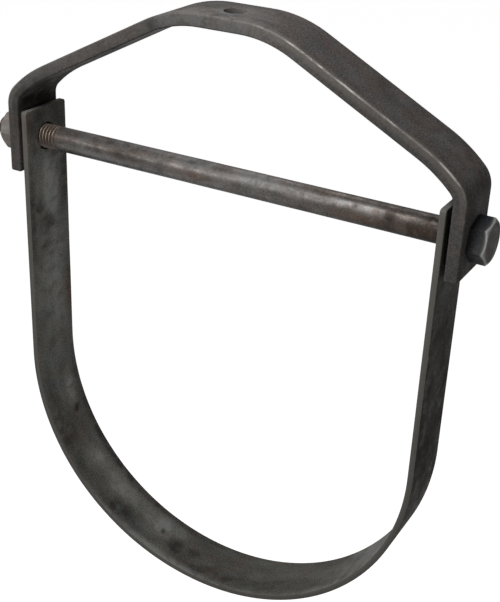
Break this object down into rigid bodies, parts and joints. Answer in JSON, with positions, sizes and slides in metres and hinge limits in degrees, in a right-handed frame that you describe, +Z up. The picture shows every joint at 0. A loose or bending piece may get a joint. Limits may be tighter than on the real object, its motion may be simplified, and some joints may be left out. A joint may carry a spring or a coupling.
{
  "type": "clevis hanger",
  "caption": "Clevis hanger that carries a horizontal pipe under a rod: a bent yoke and a U-shaped strap joined by a cross bolt with a nut.",
  "frame": {"origin": "centre of the pipe seat: the axis of the strap's half-circle cradle, midway across the bar", "axes": "+Z up through the rod hole, +Y along the pipe, +X along the cross bolt towards its head"},
  "size_m": [0.2686, 0.0318, 0.3146],
  "materials": {
    "yoke_steel": "dark mill scale, worn to brighter metal along the edges",
    "strap_steel": "dark mill scale with a grey-green sheen and small rust marks",
    "bolt_steel": "oiled black steel with a brown tint",
    "nut_steel": "plain steel, duller and lighter than the bolt"
  },
  "bodies": {
    "yoke": {"yoke": "yoke_steel"},
    "strap": {"lower_strap": "strap_steel"},
    "bolt": {"cross_bolt": "bolt_steel", "hex_nut": "nut_steel"}
  },
  "joints": [
    {"name": "strap_swing", "type": "hinge", "parent": "yoke", "child": "strap", "pos_m": [0, 0, 0.121], "axis": [1, 0, 0], "range_deg": [-110, 110]},
    {"name": "bolt_turn", "type": "hinge", "parent": "yoke", "child": "bolt", "pos_m": [0, 0, 0.121], "axis": [1, 0, 0], "continuous": true}
  ]
}
